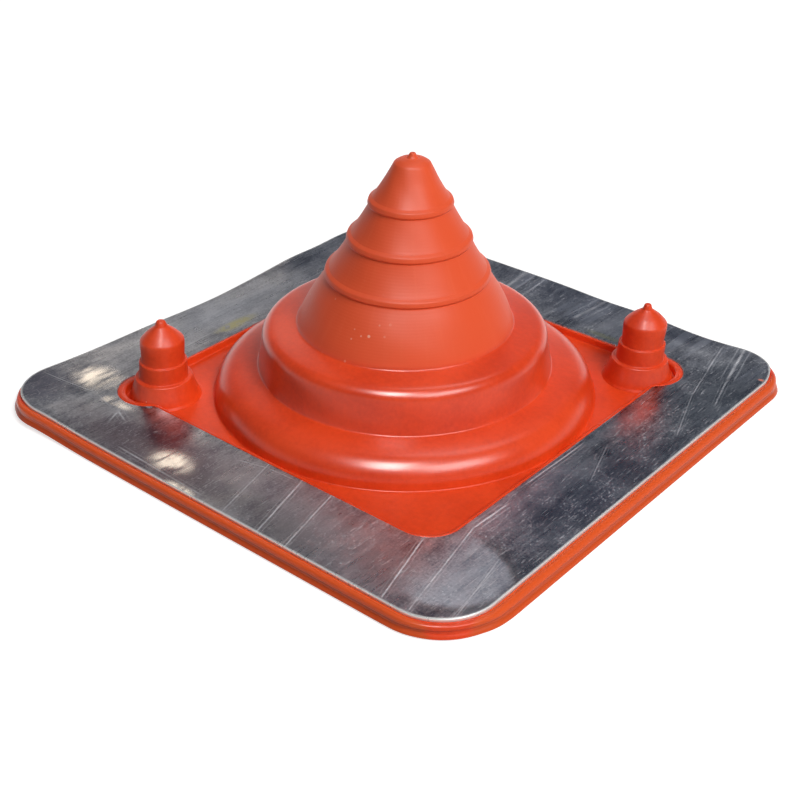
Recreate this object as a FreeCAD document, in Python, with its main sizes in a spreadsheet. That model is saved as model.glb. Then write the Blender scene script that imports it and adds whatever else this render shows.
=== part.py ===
import FreeCAD, Part
import math
import os
import Sketcher

# Pipe flashing boot: a silicone moulding with a stepped cone, on a square flange that carries
# a flat aluminium frame. Millimetres, +Z up along the cone, origin under the middle of the flange.

os.makedirs("parts", exist_ok=True)
doc = FreeCAD.newDocument("pipe_flashing_boot")
V = FreeCAD.Vector

# Driving dimensions
RINGS = 3
RIBS = 2
SIZES = {
    # Cone, from the tip down to the top of tier 2
    "tip_radius": 3.65,
    "tip_crown": 0.7,
    "tip_bevel": 0.4,
    "tip_nub_radius": 0.7,
    "tip_nub_height": 0.7,
    "tip_height": 7.7,
    "ring_radius": 8.15,
    "ring_step": 3.88,
    "ring_pitch": 7.05,
    "ring_flare_width": 1.3,
    "ring_flare_height": 1.3,
    "ring_undercut": 0.3,
    "ring_drop": 0.5,
    "ring_edge": 0.3,
    "cone_foot_run": 5.2,
    "cone_foot_height": 10.3,
    "cone_foot_bulge": 0.45,
    "cone_wall": 1.8,
    # Two round tiers under the cone
    "tier_2_width": 7.8,
    "tier_2_height": 9.0,
    "tier_2_draft": 1.4,
    "tier_2_fall": 0.9,
    "tier_2_bevel": 1.5,
    "tier_1_width": 8.8,
    "tier_1_height": 6.0,
    "tier_1_draft": 1.1,
    "tier_1_fall": 1.3,
    "tier_1_round": 5.2,
    "tier_wall": 1.9,
    # Flange, its window and its rim
    "tier_gap": 0.75,
    "lip_width": 0.95,
    "window_corner": 6.6,
    "seat_height": 1.9,
    "ledge_rise": 0.45,
    "floor_drop": 0.5,
    "rim_width": 1.0,
    "rim_bevel": 0.4,
    "rim_groove_depth": 0.35,
    "rim_groove_top": 1.4,
    "rim_groove_base": 0.9,
    "rim_foot_flare": 0.3,
    "rim_inset": 2.6,
    # Sealing side
    "relief": 0.4,
    "rib_width": 1.5,
    "rib_pitch": 5.2,
    # Aluminium frame
    "sheet": 0.9,
    "sheet_gap": 0.05,
    "frame_width": 16.6,
    "frame_corner": 11.2,
    "lobe_shift": 1.65,
    # Nipples in two corners of the window
    "nipple_inset": 5.95,
    "nipple_nub_radius": 1.15,
    "nipple_nub_height": 1.3,
    "nipple_cap_height": 2.2,
    "nipple_radius": 4.4,
    "nipple_cap_bevel": 0.45,
    "nipple_upper_height": 5.0,
    "nipple_step": 0.45,
    "nipple_middle_height": 3.2,
    "nipple_collar": 0.75,
    "nipple_foot_height": 4.35,
    "nipple_foot_flare": 1.3,
    "nipple_bore_radius": 3.2,
    "nipple_cap_wall": 1.3,
}

sheet = doc.addObject("Spreadsheet::Sheet", "Sizes")
for row, (alias, value) in enumerate(SIZES.items(), 1):
    sheet.set("A%d" % row, alias.replace("_", " "))
    sheet.set("B%d" % row, str(value))
    sheet.setAlias("B%d" % row, alias)
doc.recompute()


class Size:
    """A length, with the expression that binds it to the cells it comes from."""

    def __init__(self, value, text):
        self.value = value
        self.text = text

    def joined(self, sign, other, turned=False):
        if not isinstance(other, Size):
            other = Size(float(other), str(other))
        first, second = (other, self) if turned else (self, other)
        value = {
            "+": first.value + second.value,
            "-": first.value - second.value,
            "*": first.value * second.value,
        }[sign]
        return Size(value, "(%s %s %s)" % (first.text, sign, second.text))

    def __add__(self, other):
        return self.joined("+", other)

    def __sub__(self, other):
        return self.joined("-", other)

    def __mul__(self, other):
        return self.joined("*", other)

    def __rmul__(self, other):
        return self.joined("*", other, turned=True)

    def __neg__(self):
        return self.joined("*", -1)


class Cells:
    """The sheet's cells by name."""

    def __getattr__(self, alias):
        return Size(float(sheet.get(alias)), "Sizes." + alias)


cell = Cells()
ZERO = Size(0.0, "0")


# Sketching helpers

def new_sketch(body, name, role, height=ZERO):
    """A sketch on one of the body's own planes, raised along the plane's normal."""
    sketch = body.newObject("Sketcher::SketchObject", name)
    plane = [item for item in body.Origin.OriginFeatures if item.Role == role][0]
    sketch.AttachmentSupport = [(plane, "")]
    sketch.MapMode = "FlatFace"
    if height is not ZERO:
        sketch.setExpression("AttachmentOffset.Base.z", height.text)
    return sketch


def bind(sketch, kind, places, size):
    """A driving constraint bound to the sheet."""
    index = sketch.addConstraint(Sketcher.Constraint(kind, *places, size.value))
    sketch.setExpression("Constraints[%d]" % index, size.text)


def bind_point(sketch, geometry, point, x, y):
    """Ties one point of the sketch to a place measured from its origin."""
    for kind, size in (("DistanceX", x), ("DistanceY", y)):
        if abs(size.value) < 1e-9:
            other = "PointOnObject"
            axis = -2 if kind == "DistanceX" else -1
            sketch.addConstraint(Sketcher.Constraint(other, geometry, point, axis))
        else:
            bind(sketch, kind, (-1, 1, geometry, point), size)


def profile(sketch, corners):
    """A closed outline through corners (x, y) or (x, y, radius), the last kind rounded by an arc
    that touches both of its sides."""
    count = len(corners)
    at = [V(item[0].value, item[1].value, 0) for item in corners]
    starts, ends, arcs = [], [], []
    for index, item in enumerate(corners):
        before = (at[index - 1] - at[index]).normalize()
        after = (at[(index + 1) % count] - at[index]).normalize()
        if len(item) == 2:
            starts.append(at[index])
            ends.append(at[index])
            arcs.append(None)
            continue
        radius = item[2].value
        half = before.getAngle(after) / 2
        reach = radius / math.tan(half)
        middle = (before + after).normalize()
        centre = at[index] + middle * (radius / math.sin(half))
        starts.append(at[index] + before * reach)
        ends.append(at[index] + after * reach)
        arcs.append(Part.Arc(starts[-1], centre - middle * radius, ends[-1]))
    sides = []
    for index in range(count):
        following = (index + 1) % count
        sides.append(sketch.addGeometry(Part.LineSegment(ends[index], starts[following])))
    for index, item in enumerate(corners):
        before, after = sides[index - 1], sides[index]
        if arcs[index] is None:
            sketch.addConstraint(Sketcher.Constraint("Coincident", before, 2, after, 1))
            bind_point(sketch, after, 1, item[0], item[1])
            continue
        arc = sketch.addGeometry(arcs[index])
        first = sketch.getPoint(arc, 1)
        tail, head = (1, 2) if first.distanceToPoint(starts[index]) < 1e-6 else (2, 1)
        sketch.addConstraint(Sketcher.Constraint("Tangent", before, 2, arc, tail))
        sketch.addConstraint(Sketcher.Constraint("Tangent", after, 1, arc, head))
        bind(sketch, "Radius", (arc,), item[2])
        corner = sketch.addGeometry(Part.Point(at[index]), True)
        bind_point(sketch, corner, 1, item[0], item[1])
        sketch.addConstraint(Sketcher.Constraint("PointOnObject", corner, 1, before))
        sketch.addConstraint(Sketcher.Constraint("PointOnObject", corner, 1, after))


def rounded_square(sketch, half, corner):
    """A square about the origin with its four corners rounded."""
    signs = ((-1, -1), (1, -1), (1, 1), (-1, 1))
    profile(sketch, [(half * sx, half * sy, corner) for sx, sy in signs])


def window_outline(sketch, half, corner, lobe_at, lobe_radius):
    """A square about the origin: two opposite corners are rounded, and the two on the line
    x = y end in a round lobe that reaches past both sides."""
    edge, mid, radius = half.value, lobe_at.value, lobe_radius.value
    cut = mid - math.sqrt(radius ** 2 - (edge - mid) ** 2)
    bend = edge - corner.value
    far = mid + radius / math.sqrt(2)
    near = edge - corner.value * (1 - 1 / math.sqrt(2))
    for turn in (1, -1):
        def at(x, y):
            return V(turn * x, turn * y, 0)
        along_x = sketch.addGeometry(Part.LineSegment(at(-cut, -edge), at(bend, -edge)))
        along_y = sketch.addGeometry(Part.LineSegment(at(edge, -bend), at(edge, cut)))
        round_arc = sketch.addGeometry(Part.Arc(at(bend, -edge), at(near, -near), at(edge, -bend)))
        lobe = sketch.addGeometry(Part.Arc(at(edge, cut), at(far, far), at(cut, edge)))
        sketch.addConstraint(Sketcher.Constraint("Horizontal", along_x))
        sketch.addConstraint(Sketcher.Constraint("Vertical", along_y))
        sketch.addConstraint(Sketcher.Constraint("Tangent", along_x, 2, round_arc, 1))
        sketch.addConstraint(Sketcher.Constraint("Tangent", along_y, 1, round_arc, 2))
        sketch.addConstraint(Sketcher.Constraint("Coincident", along_y, 2, lobe, 1))
        bind(sketch, "DistanceY", (-1, 1, along_x, 1), half * -turn)
        bind(sketch, "DistanceX", (-1, 1, along_y, 1), half * turn)
        bind(sketch, "Radius", (round_arc,), corner)
        bind(sketch, "Radius", (lobe,), lobe_radius)
        bind_point(sketch, lobe, 3, lobe_at * turn, lobe_at * turn)
        if turn == 1:
            first_x, first_lobe = along_x, lobe
        else:
            sketch.addConstraint(Sketcher.Constraint("Coincident", first_lobe, 2, along_x, 1))
            sketch.addConstraint(Sketcher.Constraint("Coincident", lobe, 2, first_x, 1))


# Feature helpers

def pad(body, name, sketch, length):
    """A Pad that rises from its sketch."""
    feature = body.newObject("PartDesign::Pad", name)
    feature.Profile = sketch
    feature.setExpression("Length", length.text)
    return feature


def pocket_above(body, name, sketch, length):
    """A Pocket that takes out what stands above its sketch."""
    feature = body.newObject("PartDesign::Pocket", name)
    feature.Profile = sketch
    feature.Reversed = True
    feature.setExpression("Length", length.text)
    cuts.append(feature)
    return feature


def revolve(body, kind, name, sketch):
    """A full Revolution or Groove about the sketch's own upright axis."""
    feature = body.newObject("PartDesign::" + kind, name)
    feature.Profile = sketch
    feature.ReferenceAxis = (sketch, ["V_Axis"])
    feature.Angle = 360
    if kind == "Groove":
        cuts.append(feature)
    return feature


cuts = []


# Places that several pieces share
cone_foot_radius = cell.ring_radius + (RINGS - 1) * cell.ring_step + cell.cone_foot_run
tier_2_radius = cone_foot_radius + cell.tier_2_width
tier_1_radius = tier_2_radius + cell.tier_1_width
lip_inner = tier_1_radius + cell.tier_gap
window_half = lip_inner + cell.lip_width
frame_half = window_half + cell.frame_width
seat = cell.seat_height
ledge = seat + cell.ledge_rise
floor = seat - cell.floor_drop
tier_1_top = floor + cell.tier_1_height
cone_foot = tier_1_top + cell.tier_2_height
lowest_ring = cone_foot + cell.cone_foot_height
top_ring = lowest_ring + (RINGS - 1) * cell.ring_pitch
tip_edge = top_ring + cell.tip_height
tip_crown = tip_edge + cell.tip_crown
nipple_at = window_half - cell.nipple_inset
nipple_collar_radius = cell.nipple_radius + cell.nipple_step + cell.nipple_collar
nipple_foot_radius = nipple_collar_radius + cell.nipple_foot_flare
lobe_at = nipple_at + cell.lobe_shift
lobe_radius = nipple_foot_radius


# Rubber boot, one moulding

boot = doc.addObject("PartDesign::Body", "RubberBoot")
boot.Label = "rubber_boot"

# Flange block up to the ledge round the frame
flange_sketch = new_sketch(boot, "FlangeOutline", "XY_Plane")
rim_half = frame_half + cell.rim_width
rim_core = rim_half - cell.rim_inset
rounded_square(flange_sketch, rim_core, cell.frame_corner + cell.rim_width - cell.rim_inset)
pad(boot, "Flange", flange_sketch, ledge)

# Rim: a bead, a groove and a flared foot in one section, carried round the flange
rim_path = new_sketch(boot, "RimPath", "XY_Plane")
rounded_square(rim_path, rim_core, cell.frame_corner + cell.rim_width - cell.rim_inset)
rim_section = new_sketch(boot, "RimSection", "XZ_Plane")
rim_back = rim_core - cell.rim_width
neck = rim_half - cell.rim_groove_depth
profile(rim_section, [
    (rim_back, ZERO),
    (rim_half + cell.rim_foot_flare, ZERO),
    (rim_half, cell.rim_groove_base),
    (neck, cell.rim_groove_base),
    (neck, cell.rim_groove_top),
    (rim_half, cell.rim_groove_top),
    (rim_half, ledge - cell.rim_bevel),
    (rim_half - cell.rim_bevel, ledge),
    (rim_back, ledge),
])
rim = boot.newObject("PartDesign::AdditivePipe", "Rim")
rim.Profile = rim_section
rim.Spine = (rim_path, ["Edge%d" % (index + 1) for index in range(8)])
rim.Mode = "Standard"

# Seat for the frame, then the floor of the window inside its lip
seat_sketch = new_sketch(boot, "SeatOutline", "XY_Plane", seat)
rounded_square(seat_sketch, frame_half + cell.sheet_gap, cell.frame_corner + cell.sheet_gap)
window_outline(seat_sketch, window_half - cell.sheet_gap, cell.window_corner - cell.sheet_gap,
               lobe_at, lobe_radius - cell.sheet_gap)
pocket_above(boot, "Seat", seat_sketch, cell.ledge_rise * 2)
floor_sketch = new_sketch(boot, "FloorOutline", "XY_Plane", floor)
window_outline(floor_sketch, lip_inner, cell.window_corner - cell.lip_width,
               lobe_at, lobe_radius - cell.lip_width)
pocket_above(boot, "WindowFloor", floor_sketch, (cell.ledge_rise + cell.floor_drop) * 2)

# Stepped cone on its two tiers, down from the closed tip
cone_sketch = new_sketch(boot, "ConeSection", "XZ_Plane")
cone_line = [
    (ZERO, cell.relief),
    (ZERO, tip_crown + cell.tip_nub_height),
    (cell.tip_nub_radius * 0.5, tip_crown + cell.tip_nub_height),
    (cell.tip_nub_radius, tip_crown),
    (cell.tip_radius - cell.tip_bevel, tip_edge),
    (cell.tip_radius, tip_edge - cell.tip_bevel),
]
for ring in range(RINGS):
    ring_radius = cell.ring_radius + ring * cell.ring_step
    ring_height = top_ring - ring * cell.ring_pitch
    cone_line += [
        (ring_radius - cell.ring_flare_width, ring_height + cell.ring_flare_height),
        (ring_radius, ring_height + cell.ring_edge),
        (ring_radius, ring_height),
        (ring_radius - cell.ring_undercut, ring_height - cell.ring_drop),
    ]
cone_line += [
    (ring_radius + cell.cone_foot_run * 0.5 + cell.cone_foot_bulge, cone_foot + cell.cone_foot_height * 0.5),
    (cone_foot_radius, cone_foot),
    (tier_2_radius - cell.tier_2_draft - cell.tier_2_bevel, cone_foot - cell.tier_2_fall),
    (tier_2_radius - cell.tier_2_draft, cone_foot - cell.tier_2_fall - cell.tier_2_bevel),
    (tier_2_radius, tier_1_top),
    (tier_1_radius - cell.tier_1_draft, tier_1_top - cell.tier_1_fall, cell.tier_1_round),
    (tier_1_radius, floor),
    (tier_1_radius, cell.relief),
]
profile(cone_sketch, cone_line)
revolve(boot, "Revolution", "Cone", cone_sketch)

# Hollow under the cone and the tiers
hollow_sketch = new_sketch(boot, "HollowSection", "XZ_Plane")
hollow_top = tip_edge - cell.cone_wall
hollow_tip_radius = cell.tip_radius - cell.cone_wall * 0.45
tier_2_hollow = tier_2_radius - cell.tier_2_draft - cell.tier_wall
tier_2_ceiling = cone_foot - cell.tier_2_fall - cell.tier_wall
tier_1_hollow = tier_1_radius - cell.tier_1_draft - cell.tier_wall
tier_1_ceiling = tier_1_top - cell.tier_1_fall - cell.tier_wall
profile(hollow_sketch, [
    (ZERO, -cell.relief),
    (ZERO, hollow_top),
    (hollow_tip_radius, hollow_top),
    (cone_foot_radius - cell.cone_wall, tier_2_ceiling),
    (tier_2_hollow, tier_2_ceiling),
    (tier_2_hollow, tier_1_ceiling),
    (tier_1_hollow, tier_1_ceiling),
    (tier_1_hollow, -cell.relief),
])
revolve(boot, "Groove", "Hollow", hollow_sketch)

# Sealing side: a shallow relief inside the foot, with ribs left standing in it
relief_sketch = new_sketch(boot, "ReliefOutline", "XY_Plane")
relief_half = rim_half - cell.rim_inset
relief_corner = cell.frame_corner + cell.rim_width - cell.rim_inset
rounded_square(relief_sketch, relief_half, relief_corner)
for rib in range(RIBS):
    outer = (rib + 1) * cell.rib_pitch
    inner = outer + cell.rib_width
    rounded_square(relief_sketch, relief_half - outer, relief_corner - outer * 0.5)
    rounded_square(relief_sketch, relief_half - inner, relief_corner - outer * 0.5 - cell.rib_width)
pocket_above(boot, "Relief", relief_sketch, cell.relief)

# Nipple, closed at its top, and the bore that runs up inside it from the sealing side
nipple_sketch = new_sketch(boot, "NippleSection", "XZ_Plane")
nipple_sketch.setExpression("AttachmentOffset.Base.x", nipple_at.text)
nipple_sketch.setExpression("AttachmentOffset.Base.z", (-nipple_at).text)
collar_top = floor + cell.nipple_foot_height
step_top = collar_top + cell.nipple_middle_height
shoulder = step_top + cell.nipple_upper_height
cap_top = shoulder + cell.nipple_cap_height
middle = cell.nipple_radius + cell.nipple_step
profile(nipple_sketch, [
    (ZERO, cell.relief),
    (ZERO, cap_top + cell.nipple_nub_height),
    (cell.nipple_nub_radius * 0.7, cap_top + cell.nipple_nub_height),
    (cell.nipple_nub_radius, cap_top),
    (cell.nipple_radius - cell.nipple_cap_bevel, shoulder + cell.nipple_cap_bevel),
    (cell.nipple_radius, shoulder - cell.nipple_cap_bevel),
    (cell.nipple_radius, step_top),
    (middle, step_top),
    (middle, collar_top),
    (nipple_collar_radius, collar_top),
    (nipple_foot_radius, floor),
    (nipple_foot_radius, cell.relief),
])
nipple = revolve(boot, "Revolution", "Nipple", nipple_sketch)

bore_sketch = new_sketch(boot, "NippleBoreSection", "XZ_Plane")
bore_sketch.setExpression("AttachmentOffset.Base.x", nipple_at.text)
bore_sketch.setExpression("AttachmentOffset.Base.z", (-nipple_at).text)
bore_end = shoulder - cell.nipple_cap_wall
profile(bore_sketch, [
    (ZERO, -cell.relief),
    (ZERO, bore_end),
    (cell.nipple_bore_radius, bore_end),
    (cell.nipple_bore_radius, -cell.relief),
])
bore = revolve(boot, "Groove", "NippleBore", bore_sketch)

nipples = boot.newObject("PartDesign::PolarPattern", "Nipples")
nipples.Originals = [nipple, bore]
nipples.Axis = ([item for item in boot.Origin.OriginFeatures if item.Role == "Z_Axis"][0], [""])
nipples.Angle = 360
nipples.Occurrences = 2
boot.Tip = nipples


# Aluminium frame, stamped flat with a window that clears the tiers and the nipples

frame = doc.addObject("PartDesign::Body", "AluminiumFrame")
frame.Label = "aluminium_frame"
frame_sketch = new_sketch(frame, "FrameOutline", "XY_Plane", seat)
rounded_square(frame_sketch, frame_half, cell.frame_corner)
window_outline(frame_sketch, window_half, cell.window_corner, lobe_at, lobe_radius)
pad(frame, "Sheet", frame_sketch, cell.sheet)

doc.recompute()
for item in doc.Objects:
    if "Invalid" in item.State or "Error" in item.State:
        raise RuntimeError("%s failed: %s" % (item.Name, item.State))
for cut in cuts:
    if cut.Shape.Volume > cut.BaseFeature.Shape.Volume - 1:
        raise RuntimeError("%s takes nothing out" % cut.Name)
for body in (boot, frame):
    if body.Shape.isNull() or not body.Shape.isValid() or len(body.Shape.Solids) != 1:
        raise RuntimeError("%s is not one sound solid" % body.Label)
    body.Shape.exportStep("parts/%s.step" % body.Label)
    box = body.Shape.BoundBox
    print(body.Label, round(body.Shape.Volume, 1), "mm3", len(body.Shape.Faces), "faces", box)
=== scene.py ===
"""Looks of a pipe flashing boot: an orange-red silicone moulding with a stepped cone on a square
flange, and a dull aluminium frame set in its top. Lengths are millimetres until a mesh is made."""

import math

import bpy
import numpy as np
from mathutils import Matrix, Vector


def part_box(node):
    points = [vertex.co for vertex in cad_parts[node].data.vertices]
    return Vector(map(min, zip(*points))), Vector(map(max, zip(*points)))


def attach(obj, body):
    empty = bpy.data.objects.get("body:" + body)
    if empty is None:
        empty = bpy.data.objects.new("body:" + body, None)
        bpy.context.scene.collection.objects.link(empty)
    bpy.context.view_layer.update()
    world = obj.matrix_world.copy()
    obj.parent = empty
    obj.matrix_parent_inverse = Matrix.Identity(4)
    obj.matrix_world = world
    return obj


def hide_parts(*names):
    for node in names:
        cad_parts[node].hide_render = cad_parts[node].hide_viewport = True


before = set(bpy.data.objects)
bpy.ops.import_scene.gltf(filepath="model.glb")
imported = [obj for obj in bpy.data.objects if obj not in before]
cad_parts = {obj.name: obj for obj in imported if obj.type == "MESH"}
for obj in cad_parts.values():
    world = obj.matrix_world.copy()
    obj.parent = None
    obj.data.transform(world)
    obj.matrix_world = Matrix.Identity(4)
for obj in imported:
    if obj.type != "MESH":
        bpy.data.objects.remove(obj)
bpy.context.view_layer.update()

MM = 0.001
boot_high = np.array(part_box("rubber_boot")[1]) / MM
metal_low, metal_high = (np.array(corner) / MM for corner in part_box("aluminium_frame"))

# Flange and metal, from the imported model
METAL_HALF = metal_high[0] - 0.5
METAL_CORNER = 10.7
SEAT = metal_low[2]
METAL_TOP = metal_high[2]
FOOT_HALF = boot_high[0]
RIM_HALF = FOOT_HALF - 0.3
LEDGE = SEAT + 0.45
FLOOR = SEAT - 0.5
PEAK = boot_high[2]
NUB_TOP = PEAK + 0.3

# Tiers and cone: radius and height of each edge
TIER_1_FOOT = 37.71
TIER_1_SHOULDER = (36.61, 6.1, 5.2)
TIER_2_FOOT = (28.91, 7.4)
TIER_2_SHOULDER = (27.55, 15.55, 2.5)
CONE_FOOT = (21.11, 16.4)
RINGS = ((8.15, 40.8), (12.03, 33.75), (15.91, 26.7))
TIP = (3.6, 48.15)
CREASE = 0.35

# Window in the metal, with a round lobe in two corners
WINDOW_HALF = 39.41
WINDOW_CORNER = 6.6
LOBE_AT = 35.11
LOBE = 6.9
LIP = 0.95
LIP_TOP = METAL_TOP - 0.08
LOBE_LIP = 1.7
LOBE_LIP_RUN = 1.85

# Nipples
NIPPLE_AT = 33.46
NIPPLE_FOOT = 6.9
NIPPLE_TOP = 17.7
BORE = 3.2
BORE_ROOM = 5.0

# Underside and hollow
RELIEF = 0.4
WELL = 34.71

# Columns of the boot's grid along each side of the square and round each corner
SIDE_COLUMNS = 50
CORNER_COLUMNS = 34
CORNER_START = math.radians(37.0)


# Outlines, seen from above and run anticlockwise, one point for each column of the grid

def around(quarters):
    """Joins the outlines of four quarters, each given as drawn on the +X side and the corner
    after it, and turned by its number of right angles."""
    turned = [q @ np.array([[math.cos(a), math.sin(a)], [-math.sin(a), math.cos(a)]])
              for q, a in zip(quarters, np.arange(4) * math.pi / 2)]
    return np.concatenate(turned)


def side(x, start, end):
    """A straight side at x, from y = start to y = end, its last point left to the corner."""
    y = np.linspace(start, end, SIDE_COLUMNS, endpoint=False)
    return np.stack([np.full_like(y, x), y], 1)


def bend(centre, radius, start, end):
    """An arc about (centre, centre), its last point left to the next side."""
    angle = np.linspace(start, end, CORNER_COLUMNS, endpoint=False)
    return centre + radius * np.stack([np.cos(angle), np.sin(angle)], 1)


def circle(radius):
    """A circle about the origin, its columns shared out as the square's are."""
    sides = np.linspace(-CORNER_START, CORNER_START, SIDE_COLUMNS, endpoint=False)
    corners = np.linspace(CORNER_START, math.pi / 2 - CORNER_START, CORNER_COLUMNS, endpoint=False)
    angle = np.concatenate([sides, corners])
    return around([radius * np.stack([np.cos(angle), np.sin(angle)], 1)] * 4)


def square(half, corner):
    """A square with round corners."""
    straight = half - corner
    quarter = np.concatenate([side(half, -straight, straight), bend(straight, corner, 0, math.pi / 2)])
    return around([quarter] * 4)


def window(half, corner, lobe):
    """A square whose corners on the line x = y are lobes of radius lobe, and whose others are round."""
    straight = half - corner
    reach = half - LOBE_AT
    cut = LOBE_AT - math.sqrt(lobe ** 2 - reach ** 2)
    turn = math.atan2(cut - LOBE_AT, reach)
    to_lobe = np.concatenate([side(half, -straight, cut), bend(LOBE_AT, lobe, turn, math.pi / 2 - turn)])
    to_round = np.concatenate([side(half, -cut, straight), bend(straight, corner, 0, math.pi / 2)])
    return around([to_lobe, to_round, to_lobe, to_round])


# Sections

def rounded(corners, arc_step=11.0, run_step=1.4):
    """A section through corners (r, z, radius): straight runs with an arc at each corner that has a
    radius. An arc's point is its centre plus the two end arms, mixed by the sines of their shares."""
    points = np.array([corner[:2] for corner in corners], float)
    out = [points[0]]
    for index in range(1, len(corners) - 1):
        here, radius = points[index], corners[index][2]
        if radius == 0:
            out.append(here)
            continue
        back = (points[index - 1] - here) / np.linalg.norm(points[index - 1] - here)
        ahead = (points[index + 1] - here) / np.linalg.norm(points[index + 1] - here)
        half = math.acos(np.clip(back @ ahead, -1, 1)) / 2
        middle = (back + ahead) / np.linalg.norm(back + ahead)
        centre = here + middle * radius / math.sin(half)
        arms = here + np.array([back, ahead]) * radius / math.tan(half) - centre
        sweep = math.pi - 2 * half
        share = np.linspace(0, 1, max(2, math.ceil(math.degrees(sweep) / arc_step)) + 1)[:, None]
        arc = (np.sin((1 - share) * sweep) * arms[0] + np.sin(share * sweep) * arms[1]) / math.sin(sweep)
        out.extend(centre + arc)
    out.append(points[-1])
    line = np.array(out)
    lengths = np.linalg.norm(np.diff(line, axis=0), axis=1)
    counts = np.maximum(1, np.ceil(lengths / run_step).astype(int))
    parts = [a + (b - a) * (np.arange(n) / n)[:, None] for a, b, n in zip(line, line[1:], counts)]
    return np.concatenate(parts + [line[-1:]])


def hollow_run(start, end, sag, count=4):
    """Points between two ends, moved in by sag times a parabola that is one halfway along."""
    share = np.linspace(0, 1, count + 2)[1:-1]
    line = np.array(start) + np.outer(share, np.subtract(end, start))
    line[:, 0] -= sag * 4 * share * (1 - share)
    return [(r, z, 0) for r, z in line]


def cone_section():
    """The outer section from the tip's nub down to the floor. Each band of the cone is a slightly
    hollow line that ends in a crease over a rolled bead, and the next band starts under the bead."""
    corners = [(0, NUB_TOP, 0), (0.55, NUB_TOP - 0.06, 0.25), (0.8, PEAK - 0.4, 0.15),
               (1.1, PEAK - 0.7, 0.16), (1.45, PEAK - 0.68, 0.2), (2.5, PEAK - 0.98, 1.4),
               (TIP[0] - 0.2, TIP[1] + 0.2, 0.7)]
    start, sag = TIP, 0.26
    for radius, height in RINGS:
        crease = (radius - 0.95, height + 1.05)
        corners += hollow_run(start, crease, sag)
        corners += [crease + (0.22,), (radius - 0.24, height + 0.6, 0.4), (radius, height - 0.2, 0.3),
                    (radius - 0.34, height - 0.62, 0.2)]
        start, sag = corners[-1][:2], 0.12
    corners += hollow_run(start, CONE_FOOT, -0.45)
    corners += [CONE_FOOT + (0.4,), TIER_2_SHOULDER, TIER_2_FOOT + (CREASE,), TIER_1_SHOULDER,
                (TIER_1_FOOT, FLOOR, CREASE), (TIER_1_FOOT + 0.4, FLOOR, 0)]
    return rounded(corners)


def rim_section():
    """From the metal's seat over the ledge, then the bead, the groove and the flared foot of the rim:
    half width of the square and height."""
    neck = RIM_HALF - 0.26
    return rounded([(METAL_HALF + 0.04, SEAT, 0), (METAL_HALF + 0.05, LEDGE - 0.1, 0.05),
                    (METAL_HALF + 0.4, LEDGE - 0.12, 0.1), (METAL_HALF + 0.7, LEDGE + 0.16, 0.2),
                    (RIM_HALF - 0.05, LEDGE + 0.12, 0.45), (RIM_HALF, 1.7, 0.3), (neck, 1.42, 0.15),
                    (neck, 0.9, 0.2), (RIM_HALF, 0.6, 0.25), (FOOT_HALF, 0.15, 0.12),
                    (FOOT_HALF - 0.3, 0, 0.1), (FOOT_HALF - 2.9, 0, 0)], arc_step=22)


def underside_section():
    """Half width and height of the sealing foot, the relief inside it and its two ribs."""
    return [(54.41, RELIEF), (49.3, RELIEF), (49.1, 0), (47.8, 0), (47.6, RELIEF),
            (44.1, RELIEF), (43.9, 0), (42.6, 0), (42.4, RELIEF)]


def hollow_section():
    """From the mouth of the hollow up its two steps and the cone to the closed top."""
    return rounded([(35.2, RELIEF, 0), (WELL, RELIEF, 0.2), (WELL, 4.2, 1.0), (25.61, 4.2, 0.4),
                    (25.61, 13.6, 1.0), (19.31, 13.6, 0.6), (2.84, 46.7, 1.2), (0, 46.7, 0)],
                   arc_step=30, run_step=3.5)


# Grids

def revolved(section):
    """Rows of circles, one for each point of a section."""
    unit = circle(1.0)
    flat = section[:, None, :1] * unit[None]
    height = np.broadcast_to(section[:, None, 1:], flat.shape[:2] + (1,))
    return np.concatenate([flat, height], 2)


def squared(section):
    """Rows of round-cornered squares, one for each point of a section, with corners that keep their
    centres in a wide band and shrink by half the inset further in."""
    rows = []
    for half, height in section:
        inset = RIM_HALF - half
        corner = METAL_CORNER + 1.5 - inset if inset < 2.7 else METAL_CORNER - 1.1 - (inset - 2.6) * 0.5
        flat = square(half, corner)
        rows.append(np.column_stack([flat, np.full(len(flat), height)]))
    return np.array(rows)


def between(outline_a, outline_b, shares, height):
    """Flat rows between two outlines."""
    share = np.array(shares)[:, None, None]
    flat = outline_a + (outline_b - outline_a) * share
    return np.concatenate([flat, np.full(flat.shape[:2] + (1,), height)], 2)


def lip_rows():
    """The lip round the window: up from the floor, over and down to the seat, wider in the lobes."""
    stations = [(0.0, 0.0, FLOOR), (0.05, 0.03, FLOOR + 0.15), (0.12, 0.06, LIP_TOP - 0.35),
                (0.2, 0.14, LIP_TOP - 0.12), (0.35, 0.3, LIP_TOP), (0.7, 0.7, LIP_TOP),
                (0.85, 0.85, LIP_TOP - 0.1), (0.9, 0.9, LIP_TOP - 0.3), (0.9, 0.9, SEAT)]
    rows = []
    for out, lobe_out, height in stations:
        flat = window(WINDOW_HALF - LIP + out, WINDOW_CORNER - LIP + out,
                      LOBE - LOBE_LIP + lobe_out * LOBE_LIP_RUN)
        rows.append(np.column_stack([flat, np.full(len(flat), height)]))
    return np.array(rows)


def smoothstep(low, high, value):
    share = np.clip((value - low) / (high - low), 0, 1)
    return share * share * (3 - 2 * share)


# Swells and dents of the real piece: place along x and y, width, and rise
DENTS = (
    (-57, -49, 13, 0.75),
    (-57, 0, 15, -0.8),
    (-57, 26, 8, 0.45),
    (-57, 42, 7, 0.5),
    (-44, -57, 10, 0.5),
    (36, 57, 12, -1.0),
    (12, 57, 9, -0.45),
)
# The rim's foot, outward on the +X and -Y sides, and where that fades towards a corner
SPLAY = (0.75, 0.2)
SPLAY_END = (42, 51)
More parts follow.
